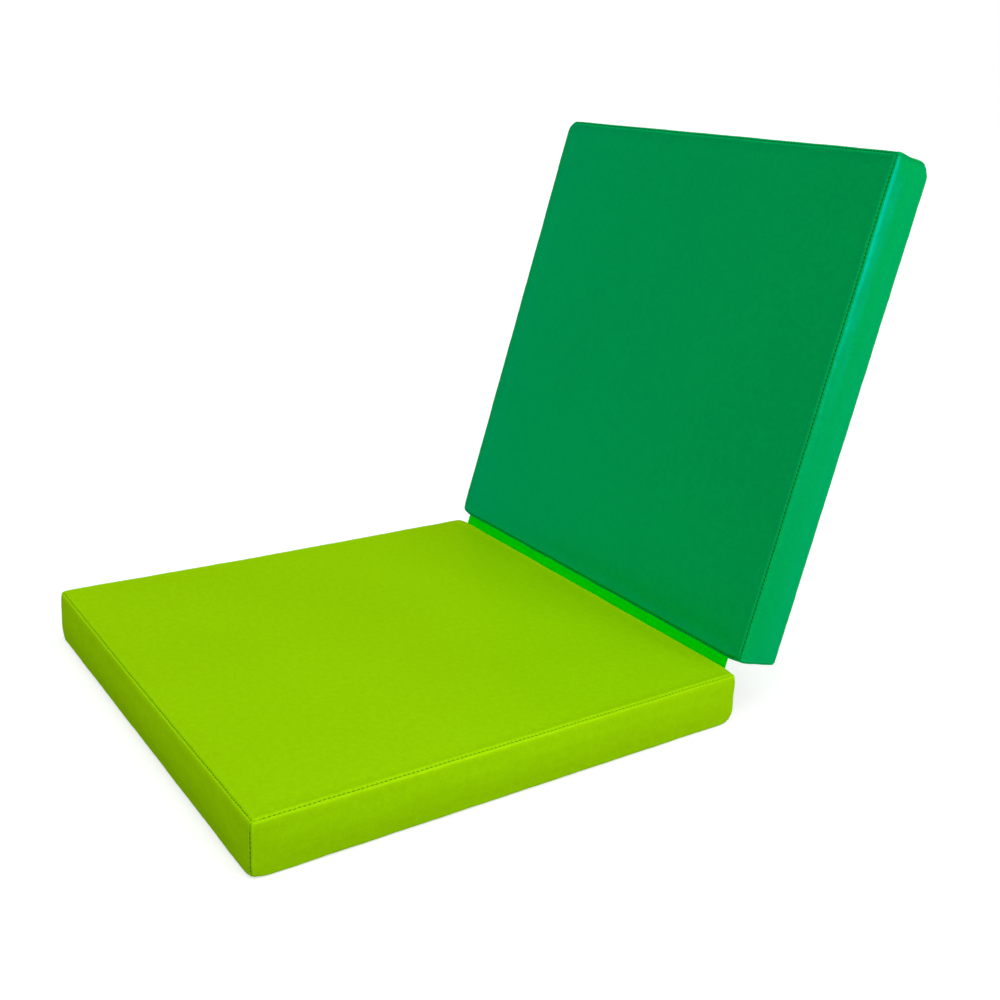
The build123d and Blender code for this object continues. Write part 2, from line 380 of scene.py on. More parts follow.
def spline(points, count):
    """A smooth curve through a few points, sampled evenly from end to end."""
    points = np.array(points, float)
    padded = np.vstack([2 * points[0] - points[1], points, 2 * points[-1] - points[-2]])
    sampled = []
    for place in np.linspace(0, len(points) - 1, count):
        index = min(int(place), len(points) - 2)
        t = place - index
        a, b, c, d = padded[index : index + 4]
        curve = (
            2 * b
            + (c - a) * t
            + (2 * a - 5 * b + 4 * c - d) * t**2
            + (3 * b - a - 3 * c + d) * t**3
        )
        sampled.append(curve / 2)
    return np.array(sampled)


def smoothstep(low, high, value):
    """0 up to low, 1 from high on, and an even rise between."""
    t = np.clip((value - low) / (high - low), 0, 1)
    return t * t * (3 - 2 * t)


# ---- cover shape

def turned(along, across, side):
    """A plan direction given along and across a side, turned to that side's place."""
    turn = side * math.pi / 2
    cos_turn, sin_turn = math.cos(turn), math.sin(turn)
    x = along * cos_turn - across * sin_turn
    y = along * sin_turn + across * cos_turn
    return np.stack([x, y], -1)


def lattice_shell():
    """Points and quads of a closed box, by whole-number lattice place."""
    cells, layers = SIM_CELLS, SIM_LAYERS
    places, faces = {}, []

    def add_face(*corners):
        """One quad, with a number for each of its lattice places."""
        faces.append(tuple(places.setdefault(corner, len(places)) for corner in corners))

    for i in range(cells):
        after = i + 1
        for j in range(cells):
            beside = j + 1
            top = layers
            add_face((i, j, top), (after, j, top), (after, beside, top), (i, beside, top))
            add_face((i, j, 0), (i, beside, 0), (after, beside, 0), (after, j, 0))
    for i in range(cells):
        after = i + 1
        for k in range(layers):
            up = k + 1
            add_face((i, 0, k), (after, 0, k), (after, 0, up), (i, 0, up))
            add_face((i, cells, k), (i, cells, up), (after, cells, up), (after, cells, k))
            add_face((0, i, k), (0, i, up), (0, after, up), (0, after, k))
            add_face((cells, i, k), (cells, after, k), (cells, after, up), (cells, i, up))
    return np.array(list(places)), faces


def smooth_noise(points, rng, wavelength, waves=7):
    """A seeded field of gentle waves, about -1 to 1, over three-dimensional points."""
    field = np.zeros(len(points))
    for _ in range(waves):
        direction = rng.normal(size=3)
        direction /= np.linalg.norm(direction)
        phase = rng.uniform(0, 2 * math.pi)
        scale = 2 * math.pi / (wavelength * rng.uniform(0.6, 1.6))
        field += np.sin(points @ direction * scale + phase)
    return field / math.sqrt(waves)


def simulate_cover(seed):
    """How far each lattice point of the cover moves when the foam fills it, in millimetres."""
    rng = np.random.default_rng(seed)
    places, faces = lattice_shell()
    scale = np.array([SIDE / SIM_CELLS, SIDE / SIM_CELLS, THICK / SIM_LAYERS])
    start = places * scale - (HALF, HALF, 0)
    uneven = np.stack([smooth_noise(start, rng, SIM_WAVELENGTH) for _ in range(3)], -1)
    mesh = bpy.data.meshes.new("cover_simulation")
    mesh.from_pydata(((start + SIM_UNEVENNESS * uneven) * MM).tolist(), [], faces)
    cover = add_object("cover_simulation", mesh)
    cloth = cover.modifiers.new("Cloth", "CLOTH")
    for setting, value in SIM_SETTINGS.items():
        setattr(cloth.settings, setting, value)
    cloth.settings.use_pressure = True
    cloth.settings.effector_weights.gravity = 0
    cloth.point_cache.frame_start = 1
    cloth.point_cache.frame_end = SIM_FRAMES
    for number in range(1, SIM_FRAMES + 1):
        bpy.context.scene.frame_set(number)
    shaped = cover.evaluated_get(bpy.context.evaluated_depsgraph_get())
    moved = np.array([vertex.co for vertex in shaped.data.vertices]) / MM
    bpy.data.objects.remove(cover)
    bpy.data.meshes.remove(mesh)
    bpy.context.scene.frame_set(1)
    moves = np.zeros((SIM_CELLS + 1, SIM_CELLS + 1, SIM_LAYERS + 1, 3))
    moves[tuple(places.T)] = moved - start
    return moves


def even_out(moves, axis):
    """Smooth a grid of moves along one axis, keeping its two ends."""
    moves = np.moveaxis(moves, axis, 0)
    for _ in range(SMOOTHING_PASSES):
        before = 2 * moves[:1] - moves[1:2]
        after = 2 * moves[-1:] - moves[-2:-1]
        padded = np.concatenate([before, moves, after])
        moves = (padded[:-2] + 2 * moves + padded[2:]) / 4
    return np.moveaxis(moves, 0, axis)


def soft_cap(moves, cap):
    """Limit how far points move, keeping small moves as they are."""
    length = np.linalg.norm(moves, axis=-1, keepdims=True) + 1e-9
    return moves * np.tanh(length / cap) * cap / length


def bilinear(grid, a, b):
    """Sample a grid of vectors at fractional places."""
    a = np.clip(a, 0, grid.shape[0] - 1.001)
    b = np.clip(b, 0, grid.shape[1] - 1.001)
    i, j = a.astype(int), b.astype(int)
    u, v = (a - i)[..., None], (b - j)[..., None]
    near = grid[i, j] * (1 - u) + grid[i + 1, j] * u
    far = grid[i, j + 1] * (1 - u) + grid[i + 1, j + 1] * u
    return near * (1 - v) + far * v


class Cover:
    """The shape of one pad's cover: simulated moves, seam waves and stitch puckers."""

    def __init__(self, pad, seed):
        self.pad = pad
        moves = simulate_cover(seed)
        from_edge = np.minimum(np.arange(SIM_CELLS + 1), np.arange(SIM_CELLS, -1, -1))
        from_edge = np.minimum(from_edge[:, None], from_edge[None, :])[..., None]
        face_cap = EDGE_CAP + (FACE_CAP - EDGE_CAP) * smoothstep(0, EDGE_CELLS, from_edge)
        faces = [even_out(even_out(moves[:, :, layer], 0), 1) for layer in (-1, 0)]
        self.top, self.under = (soft_cap(face, face_cap) for face in faces)
        height = np.linspace(0, math.pi, SIM_LAYERS + 1)[None, :, None]
        wall_cap = EDGE_CAP + (WALL_CAP - EDGE_CAP) * np.sin(height)
        walls = [moves[:, 0], moves[-1], moves[::-1, -1], moves[0, ::-1]]
        self.walls = [soft_cap(even_out(wall, 0), wall_cap) for wall in walls]
        rng = np.random.default_rng(seed + 100)
        self.waves = rng.uniform(0, 2 * math.pi, (4, 2, 2, len(SEAM_WAVELENGTHS)))
        self.radii = CORNER_RADII[pad]

    def plan(self, side, q, n):
        """Plan position and outward direction at q along a side, n outside the wall plane."""
        q, n = np.broadcast_arrays(np.asarray(q, float), np.asarray(n, float))
        half = HALF + n
        radii = np.where(q > 0, self.radii[side], self.radii[side - 1])
        radius = np.maximum(radii + CORNER_SPREAD * n, 0.05)
        past = np.abs(q) * half - (half - radius)
        turns = np.radians(SEAM_TURNS[self.pad])
        seam_angle = math.pi / 4 + np.where(q > 0, turns[side], -turns[side - 1])
        angle = np.clip(past / radius, 0, 1) * seam_angle
        straight = np.minimum(np.abs(q) * half, half - radius)
        along = np.sign(q) * (straight + radius * np.sin(angle))
        across = -(half - radius + radius * np.cos(angle))
        place = turned(along, across, side)
        out = turned(np.sign(q) * np.sin(angle), -np.cos(angle), side)
        return place, out

    def corner_depth(self, side, q, z):
        """How far a wall stands out near its upright seams, with each seam drawn in."""
        distance = HALF - np.abs(q * HALF)
        dips = np.array(SEAM_DIPS[self.pad])
        depth, height = np.moveaxis(np.where(q[..., None] > 0, dips[side], dips[side - 1]), -1, 0)
        up = (z - height) / SEAM_DIP_HEIGHT
        dip = depth * np.exp(-(up**2) - (distance / SEAM_DIP_LENGTH) ** 2)
        return corner_profile(distance) - dip

    def face_move(self, place, upper):
        """How the simulation moves points of the face or the underside."""
        grid = self.top if upper else self.under
        a, b = np.moveaxis((place + HALF) / SIDE * SIM_CELLS, -1, 0)
        return bilinear(grid, a, b)

    def wall_move(self, side, q, z):
        """How the simulation moves points of a wall."""
        a = (q + 1) / 2 * SIM_CELLS
        b = z / THICK * SIM_LAYERS
        a, b = np.broadcast_arrays(a, b)
        return bilinear(self.walls[side], a, b)

    def seam_wave(self, side, upper, q):
        """Slow wander of an edge seam, out and up, and its pull at each stitch."""
        s = np.asarray(q) * HALF
        fade = smoothstep(0, SEAM_FADE, HALF - np.abs(s))
        slow = np.zeros(s.shape + (2,))
        for axis in range(2):
            for index, wavelength in enumerate(SEAM_WAVELENGTHS):
                phase = self.waves[side, int(upper), axis, index]
                slow[..., axis] += np.sin(2 * math.pi * s / wavelength + phase) * wavelength**0.5
        slow *= SEAM_WANDER * fade[..., None]
        if side == 2 and upper:
            reach = smoothstep(0, HINGE_REACH_FADE, HALF - np.abs(s))
            slow += reach[..., None] * HINGE_REACH[self.pad]
        pull = (0.5 - 0.5 * np.cos(2 * math.pi * s / STITCH_PITCH)) ** 1.5
        return slow, pull * fade


# ---- cover sheets

def column_places(tucked):
    """q of the columns along a side, and how far each is tucked in.

    The columns are fine at the corners, and follow the stitches between.
    """
    spacing = STITCH_PITCH / COLUMNS_PER_STITCH
    count = int((HALF - CORNER_STEPS[-1] - spacing) / spacing)
    even = np.arange(-count, count + 1) * spacing
    steps = np.array(CORNER_STEPS)
    s = np.concatenate([-HALF + steps, even, (HALF - steps)[::-1]])
    tuck = np.zeros(len(s))
    if tucked:
        corner = np.full(len(CORNER_TUCKS), HALF)
        s = np.concatenate([-corner, s, corner])
        tuck = np.concatenate([CORNER_TUCKS, tuck, CORNER_TUCKS[::-1]])
    return s / HALF, tuck


def corner_profile(distance):
    """How far a wall stands out near an upright corner seam: a groove with a ridge beside it."""
    groove = CORNER_GROOVE * np.exp(-((distance / CORNER_GROOVE_SPREAD) ** 2))
    from_ridge = (distance - CORNER_RIDGE_PLACE) / CORNER_RIDGE_SPREAD
    return CORNER_RIDGE * np.exp(-(from_ridge**2)) - groove


def rest_on_floor(points, pad):
    """Keep the base pad above the floor it rests on."""
    if pad == "base":
        points[..., 2] = np.maximum(points[..., 2], 0)
    return points


def border_points(cover, side, q, upper):
    """The border of a face sheet, from its flat part over the edge and into the seam."""
    lip = spline(FACE_LIP, FACE_LIP_ROWS)
    n, h = lip[:, 0, None], lip[:, 1, None]
    reached = np.maximum.accumulate(n)
    slow, pull = cover.seam_wave(side, upper, q)
    wander = smoothstep(FACE_LIP[0][0], GROOVE[0], reached)
    pucker = smoothstep(*FACE_PUCKER, reached)
    n = n + slow[..., 0] * wander - LIP_PARTING * pull * pucker
    h = h + slow[..., 1] * wander - STITCH_DIP * pull * pucker
    place, _ = cover.plan(side, q, n)
    sampled, _ = cover.plan(side, q, np.broadcast_to(reached, n.shape))
    z = THICK + h if upper else -h * UNDER_SHARPNESS
    points = with_height(place, z) + cover.face_move(sampled, upper)
    return rest_on_floor(points, cover.pad)


def join_strips(inner, outer, inner_q, outer_q):
    """Triangles between two rows of points that run side by side."""
    faces = []
    i, j = 0, 0
    while i < len(inner) - 1 or j < len(outer) - 1:
        at_end = j == len(outer) - 1
        if at_end or (i < len(inner) - 1 and inner_q[i + 1] < outer_q[j + 1]):
            faces.append((inner[i], inner[i + 1], outer[j]))
            i += 1
        else:
            faces.append((inner[i], outer[j + 1], outer[j]))
            j += 1
    return faces


def face_sheet(cover, upper, material):
    """The face or underside sheet: an even middle, joined to a finely shaped border."""
    cells = MIDDLE_CELLS
    inner = HALF - BORDER
    line = np.linspace(-inner, inner, cells + 1)
    x, y = np.meshgrid(line, line, indexing="ij")
    flat = np.stack([x, y], -1)
    z = np.full(x.shape, THICK if upper else 0.0)
    middle = with_height(flat, z) + cover.face_move(flat, upper)
    middle = rest_on_floor(middle, cover.pad).reshape(-1, 3)
    faces = grid_faces(cells + 1, cells + 1)
    q, _ = column_places(tucked=False)
    columns = q[:-1]
    border = np.concatenate([border_points(cover, side, columns, upper) for side in range(4)], 1)
    rows, total = border.shape[:2]
    first = len(middle)
    faces += band_faces(rows, total, first, capped=False)
    index = np.arange((cells + 1) ** 2).reshape(cells + 1, cells + 1)
    edges = [index[:, 0], index[-1], index[::-1, -1], index[0, ::-1]]
    for side, edge in enumerate(edges):
        outer = first + (side * len(columns) + np.arange(len(q))) % total
        faces += join_strips(edge.tolist(), outer.tolist(), line / inner, q)
    if upper:
        faces = flipped(faces)
    name = "face_sheet" if upper else "underside_sheet"
    points = np.vstack([middle, border.reshape(-1, 3)])
    thicken(pad_piece(name, points, faces, cover.pad, material))


def wall_rows(cover, side, q, tuck, n, z, in_upper):
    """Wall points for a table of n and z, with the seam shape of the nearer edge seam."""
    q = np.broadcast_to(q, z.shape)
    below_edge = np.where(in_upper, THICK - z, z)
    sampled_depth = np.interp(below_edge, [-WALL_LIP[0][1], LIP_END, MID], [0, LIP_END, MID])
    sampled_z = np.where(in_upper, THICK - sampled_depth, sampled_depth)
    upper_slow, pull = cover.seam_wave(side, True, q)
    lower_slow, _ = cover.seam_wave(side, False, q)
    slow = np.where(in_upper[..., None], upper_slow, lower_slow)
    toward_face = np.where(in_upper, 1, -1)
    free = smoothstep(WANDER_DEPTH, LIP_END, below_edge)
    wander = 1 - free
    pucker = 1 - smoothstep(*WALL_PUCKER, below_edge)
    n = n + tuck + cover.corner_depth(side, q, z)
    n = n + slow[..., 0] * wander + LIP_PARTING * pull * pucker
    flatter = UNDER_SHARPNESS + (1 - UNDER_SHARPNESS) * free
    z = np.where(in_upper, z, z * flatter)
    z = z + toward_face * (slow[..., 1] * wander - STITCH_DIP * pull * pucker)
    place, _ = cover.plan(side, q, n)
    move = cover.wall_move(side, q, sampled_z)
    if side == 3:
        move = move * smoothstep(*ZIP_FLAT, np.abs(z - MID))[..., None]
    return rest_on_floor(with_height(place, z) + move, cover.pad)


def lip_rows():
    """The wall's lip at an edge seam: n and the distance from the face plane."""
    lip = spline(WALL_LIP, WALL_LIP_ROWS)
    return lip[:, 0], -lip[:, 1]


def full_wall(cover, side, name, material):
    """A wall from seam to seam."""
    q, tuck = column_places(tucked=True)
    lip_n, lip_down = lip_rows()
    middle = np.linspace(LIP_END, THICK - LIP_END, WALL_MIDDLE_ROWS + 2)[1:-1]
    n = np.concatenate([lip_n, np.full(len(middle), lip_n[-1]), lip_n[::-1]])
    down = np.concatenate([lip_down, middle, THICK - lip_down[::-1]])
    shape = (len(n), len(q))
    n = np.broadcast_to(n[:, None], shape)
    z = np.broadcast_to(THICK - down[:, None], shape)
    points = wall_rows(cover, side, q, tuck, n, z, z >= MID)
    thicken(pad_piece(name, points, flipped(grid_faces(*shape)), cover.pad, material))


def slot_edge(q):
    """Height above the pad's middle where a band of the zip wall ends, along the wall."""
    distance = SLOT_HALF_LENGTH - np.abs(q * HALF)
    opened = np.sqrt(smoothstep(0, SLOT_END_LENGTH, distance))
    return CLOSED_HALF_GAP + (SLOT_HALF_WIDTH - CLOSED_HALF_GAP) * opened


def zip_band(cover, upper, material):
    """One band of the zip wall, from its edge seam to the hem beside the zip."""
    side = 3
    q, tuck = column_places(tucked=True)
    edge = MID - slot_edge(q)
    n, down = ([np.full(q.shape, value) for value in values] for values in lip_rows())
    for share in BAND_SHARES:
        down.append(LIP_END + (edge - ZIP_HEM[0][1] - LIP_END) * share)
        n.append(n[-1] + (ZIP_HEM[0][0] - n[-1]) * smoothstep(0, 1, share))
    for out, back in spline(ZIP_HEM, ZIP_HEM_ROWS):
        down.append(edge - back)
        n.append(np.full(q.shape, out))
    down, n = np.array(down), np.array(n)
    z = THICK - down if upper else down
    points = wall_rows(cover, side, q, tuck, n, z, np.full(z.shape, upper))
    faces = grid_faces(*z.shape)
    if upper:
        faces = flipped(faces)
    name = "zip_wall_upper" if upper else "zip_wall_lower"
    thicken(pad_piece(name, points, faces, cover.pad, material))


# ---- threads and zip

def tubes(centres, out, up, radii, ring=6):
    """Closed tubes, one per row of centres, with a section in the plane of out and up."""
    count, stations = centres.shape[:2]
    out, up = np.broadcast_to(out, centres.shape), np.broadcast_to(up, centres.shape)
    angles = np.arange(ring) * 2 * math.pi / ring
    radii = np.asarray(radii)[None, :, None, None]
    round_out = np.cos(angles)[None, None, :, None] * out[:, :, None, :]
    round_up = np.sin(angles)[None, None, :, None] * up[:, :, None, :]
    points = centres[:, :, None, :] + radii * (round_out + round_up)
    faces = []
    for item in range(count):
        faces += band_faces(stations, ring, item * stations * ring)
    return points, faces


def edge_stitches(cover, upper, material):
    """The stitches that show in an edge seam, one by one, round the pad."""
    count = int((HALF - EDGE_STITCH_END) / STITCH_PITCH)
    places = (np.arange(-count, count) + 0.5) * STITCH_PITCH
    s = places[:, None] + STITCH_STATIONS * STITCH_HALF_LENGTH
    centres, outs = [], []
    for side in range(4):
        q = s / HALF
        slow, _ = cover.seam_wave(side, upper, q)
        n = GROOVE[0] + slow[..., 0] + STITCH_LIFT
        h = (GROOVE[1] if upper else GROOVE[1] * UNDER_SHARPNESS) + slow[..., 1]
        place, out = cover.plan(side, q, n)
        sampled, _ = cover.plan(side, q, np.zeros(q.shape))
        z = THICK + h if upper else -h
        centre = with_height(place, z) + cover.face_move(sampled, upper)
        centres.append(rest_on_floor(centre, cover.pad))
        outs.append(with_height(out, np.zeros(q.shape)))
    centres, outs = np.concatenate(centres), np.concatenate(outs)
    points, faces = tubes(centres, outs, (0, 0, 1), STITCH_RADII)
    name = "face_seam_thread" if upper else "underside_seam_thread"
    pad_piece(name, points, faces, cover.pad, material)


def corner_stitches(cover, material):
    """The stitches of the four upright corner seams."""
    heights = np.arange(CORNER_STITCH_START, THICK - CORNER_STITCH_END, STITCH_PITCH)
    z = heights[:, None] + STITCH_STATIONS * STITCH_HALF_LENGTH
    centres, outs, asides = [], [], []
    q = np.ones(z.shape)
    for side in range(4):
        n = CORNER_STITCH_OUT + STITCH_LIFT + cover.corner_depth(side, q, z) + WALL_LIP[-1][0]
        place, out = cover.plan(side, q, n)
        out = with_height(out, np.zeros(z.shape))
        centres.append(with_height(place, z) + cover.wall_move(side, q, z))
        outs.append(out)
        asides.append(np.cross(out, [0, 0, 1]))
    centres, outs, asides = (np.concatenate(parts) for parts in (centres, outs, asides))
    points, faces = tubes(centres, outs, asides, STITCH_RADII)
    pad_piece("corner_seam_threads", points, faces, cover.pad, material)


def zip_stitches(cover, material):
    """The two rows of stitches that hold the zip tapes."""
    reach = SLOT_HALF_LENGTH - ZIP_STITCH_END
    places = np.arange(-reach, reach, STITCH_PITCH * ZIP_STITCH_SCALE)
    s = places[:, None] + STITCH_STATIONS * STITCH_HALF_LENGTH * ZIP_STITCH_SCALE
    x = -HALF - (STITCH_LIFT - ZIP_STITCH_DEPTH)
    centres = []
    for direction in (-1, 1):
        z = MID + direction * (SLOT_HALF_WIDTH + ZIP_STITCH_INSET)
        centres.append(np.stack([np.broadcast_to(x, s.shape), s, np.full(s.shape, z)], -1))
    centres = np.concatenate(centres)
    points, faces = tubes(centres, (-1, 0, 0), (0, 0, 1), STITCH_RADII * ZIP_THREAD_SCALE)
    pad_piece("zip_seam_threads", points, faces, cover.pad, material)


def zip_teeth(cover, material):
    """The two rows of coil teeth, meshed along the middle of the zip."""
    low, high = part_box("base_zip_coil")
    centre_x = (low.x + high.x) / 2 / MM
    half_width = (high.z - low.z) / 2 / MM
    places = np.arange(low.y / MM + COIL_PITCH, high.y / MM - COIL_PITCH, COIL_PITCH)
    reach = TOOTH_REACH * half_width
    centres = []
    for direction, shift in ((1, 0.0), (-1, COIL_PITCH / 2)):
        y = np.broadcast_to((places + shift)[:, None], (len(places), len(reach)))
        x = np.broadcast_to(centre_x + TOOTH_BEND, y.shape)
        z = np.broadcast_to(MID + direction * -reach, y.shape)
        centres.append(np.stack([x, y, z], -1))
    centres = np.concatenate(centres)
    points, faces = tubes(centres, (1, 0, 0), (0, 1, 0), TOOTH_RADII)
    pad_piece("zip_coil", points, faces, cover.pad, material)


def zip_tape(cover, upper, material):
    """A woven tape with a corded edge beside the teeth."""
    name = "zip_tape_upper" if upper else "zip_tape_lower"
    low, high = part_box("base_" + name)
    direction = 1 if upper else -1
    width = (high.z - low.z) / MM
    beside_teeth = (low.z if upper else high.z) / MM
    across = np.array(TAPE_ACROSS + [width])
    cord = TAPE_CORD[:, None]
    y = np.arange(low.y / MM, high.y / MM + 0.1, TAPE_STEP)
    ripple = sum(size * np.sin(y / reach) for size, reach in TAPE_RIPPLES)
    shape = (len(across), len(y))
    x = low.x / MM - cord - ripple * (cord > 0)
    z = (beside_teeth + direction * across)[:, None]
    outer = np.stack([x, np.broadcast_to(y, shape), np.broadcast_to(z, shape)], -1)
    inner = outer[::-1].copy()
    inner[..., 0] = high.x / MM
    rings = np.concatenate([outer, inner]).transpose(1, 0, 2)
    faces = band_faces(*rings.shape[:2])
    if not upper:
        faces = flipped(faces)
    pad_piece(name, rings, faces, cover.pad, material)


def foam_block(cover, material):
    """The foam core: a block with softened edges and a hollow behind the zip."""
    low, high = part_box("base_foam_core")
    low, high = np.array(low) / MM, np.array(high) / MM
    places, faces = lattice_shell()
    points = low + places / (SIM_CELLS, SIM_CELLS, SIM_LAYERS) * (high - low)
    core = np.clip(points, low + FOAM_EDGE_RADIUS, high - FOAM_EDGE_RADIUS)
    away = points - core
    length = np.maximum(np.linalg.norm(away, axis=1, keepdims=True), 1e-9)
    points = core + away / length * FOAM_EDGE_RADIUS
    behind_zip = (places[:, 0] == 0) & (places[:, 2] == SIM_LAYERS // 2)
    points[behind_zip, 0] += FOAM_HOLLOW
    pad_piece("foam_core", points, faces, cover.pad, material)


# ---- hinge strip

def strip_point(along, offset):
    """A place in the y-z plane, along the strip from the fold line and off its plane."""
    return FOLD[1:] + along * STRIP_UP[1:] + offset * STRIP_NORMAL[1:]


def strip_columns():
    """x places along the strip and its share of full thickness: the ends are folded round."""
    share = np.sqrt(1 - (1 - HEM_PLACES / HEM_PLACES[-1]) ** 2)
    reach = STRIP_HALF_LENGTH
    even = np.linspace(-reach + STRIP_PLAIN_FROM, reach - STRIP_PLAIN_FROM, STRIP_COLUMNS)
    x = np.concatenate([-reach + HEM_PLACES, even, (reach - HEM_PLACES)[::-1]])
    thickness = np.concatenate([share, np.ones(len(even)), share[::-1]])
    return x, np.maximum(thickness, LEAST_SHARE)


def strip_rings(path):
    """The rings of a closed band swept along x, from a path in the y-z plane.

    Every call draws the same wave, so the two halves of the strip meet without a step.
    """
    rng = np.random.default_rng(STRIP_SEED)
    x, share = strip_columns()
    path = spline(path, STRIP_ROWS)
    tangent = np.gradient(path, axis=0)
    tangent /= np.linalg.norm(tangent, axis=1, keepdims=True)
    normal = np.stack([-tangent[:, 1], tangent[:, 0]], -1)
    along = (path - FOLD[1:]) @ STRIP_UP[1:]
    free = smoothstep(0, STRIP_FREE_FROM, along)
    free = free * (1 - smoothstep(SPAN - STRIP_FREE_FROM, SPAN, along))
    places = np.stack([x, np.zeros(len(x)), np.zeros(len(x))], -1)
    wave = STRIP_WAVE * smooth_noise(places, rng, STRIP_WAVELENGTH)
    sheets = []
    for direction in (1, -1):
        offset = direction * STRIP_THICKNESS / 2 * share[:, None] + wave[:, None] * free
        yz = path + offset[..., None] * normal
        xs = np.broadcast_to(x[:, None, None], yz.shape[:2] + (1,))
        sheets.append(np.concatenate([xs, yz], -1))
    return np.concatenate([sheets[0], sheets[1][:, ::-1]], 1)


def strip_half(name, path, material):
    """Half of the hinge strip, smooth on its two sides and flat where it is cut."""
    rings = strip_rings(path)
    columns, around = rings.shape[:2]
    faces = band_faces(columns, around)
    piece = mesh_object(name, rings.reshape(-1, 3) * MM, faces, material)
    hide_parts("hinge_strip")
    cut_ends = (around // 2 - 1, around - 1)
    for face in piece.data.polygons:
        face.use_smooth = face.index % around not in cut_ends
    return piece


def hinge_strip(material):
    """The strip in two halves: one from inside the base pad to the middle, the other from the
    middle into the rear pad.
    """
    middle = SPAN / 2
    rooted = [FOLD[1:] + point for point in ROOT_PATH]
    lower_path = rooted + [strip_point(s, STRIP_OFFSET) for s in LOWER_PLACES + [middle]]
    upper_path = [strip_point(s, STRIP_OFFSET) for s in [middle] + UPPER_PLACES]
    upper_path += [strip_point(SPAN + s, offset) for s, offset in END_PATH]
    lower = strip_half("hinge_strip_lower", lower_path, material)
    upper = strip_half("hinge_strip_upper", upper_path, material)
    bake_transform(lower)
    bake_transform(upper)


# ---- materials

def new_material(name):
    """A new material, with its node tree and its main shader."""
    material = bpy.data.materials.new(name)
    material.use_nodes = True
    tree = material.node_tree
    return material, tree, tree.nodes["Principled BSDF"]


def feed(tree, socket, value):
    """Set a socket to a value, or link it to another node's output."""
    if isinstance(value, bpy.types.NodeSocket):
        tree.links.new(value, socket)
    else:
        socket.default_value = value


def set_inputs(tree, node, **inputs):
    """Set a node's inputs by name, with _ for each space."""
    for label, value in inputs.items():
        feed(tree, node.inputs[label.replace("_", " ")], value)


def add_node(tree, kind, **inputs):
    """A new node with its inputs set by name."""
    node = tree.nodes.new(kind)
    set_inputs(tree, node, **inputs)
    return node


def math_node(tree, operation, *values):
    """The output of a math node on its values or other nodes' outputs."""
    node = tree.nodes.new("ShaderNodeMath")
    node.operation = operation
    for socket, value in zip(node.inputs, values):
        feed(tree, socket, value)
    return node.outputs[0]


def object_place(tree):
    """The place in the object that is being shaded."""
    return tree.nodes.new("ShaderNodeTexCoord").outputs["Object"]


def noise(tree, scale, detail=2.0, stretch=(1, 1, 1)):
    """Noise in object space, about 0 to 1; scale is in waves a metre."""
    mapping = add_node(tree, "ShaderNodeMapping", Vector=object_place(tree), Scale=stretch)
    texture = add_node(
        tree, "ShaderNodeTexNoise",
        Vector=mapping.outputs[0], Scale=scale, Detail=detail, Roughness=0.55,
    )
    return texture.outputs[0]


def around_one(tree, value, amount):
    """Turn a 0 to 1 value into a factor between 1 - amount and 1 + amount."""
    return math_node(tree, "MULTIPLY_ADD", value, 2 * amount, 1 - amount)


def scaled_colour(tree, colour, factor):
    """A colour times a factor."""
    scale = tree.nodes.new("ShaderNodeVectorMath")
    scale.operation = "SCALE"
    scale.inputs[0].default_value = colour
    tree.links.new(factor, scale.inputs["Scale"])
    return scale.outputs[0]


def bump(tree, height, distance, strength, under=None):
    """A normal raised by a height, on top of another normal if one is given."""
    node = add_node(tree, "ShaderNodeBump", Height=height, Distance=distance, Strength=strength)
    if under is not None:
        tree.links.new(under, node.inputs["Normal"])
    return node.outputs[0]


def between(tree, value, low, high, **reach):
    """Map a 0 to 1 value, or another reach, to low to high."""
    spread = add_node(tree, "ShaderNodeMapRange", Value=value, To_Min=low, To_Max=high, **reach)
    return spread.outputs[0]


def painted_light_and_shade(tree, amount):
    """A factor that paints light on ridges and paints shade in the bottoms of seams."""
    pointiness = tree.nodes.new("ShaderNodeNewGeometry").outputs["Pointiness"]
    return between(tree, pointiness, 1 - amount, 1 + amount, From_Min=0.42, From_Max=0.58)


def tinted_sheen(tree, shader, tint, roughness, normal):
    """Add a coloured reflection, stronger at a glance up to a limit, on top of the shader."""
    fresnel = add_node(tree, "ShaderNodeFresnel", IOR=SHEEN_IOR, Normal=normal)
    share = math_node(tree, "MINIMUM", fresnel.outputs[0], MOST_SHEEN)
    gloss = add_node(tree, "ShaderNodeBsdfAnisotropic", Roughness=roughness, Normal=normal)
    tree.links.new(scaled_colour(tree, tint, share), gloss.inputs["Color"])
    both = tree.nodes.new("ShaderNodeAddShader")
    tree.links.new(shader.outputs[0], both.inputs[0])
    tree.links.new(gloss.outputs[0], both.inputs[1])
    tree.links.new(both.outputs[0], tree.nodes["Material Output"].inputs["Surface"])


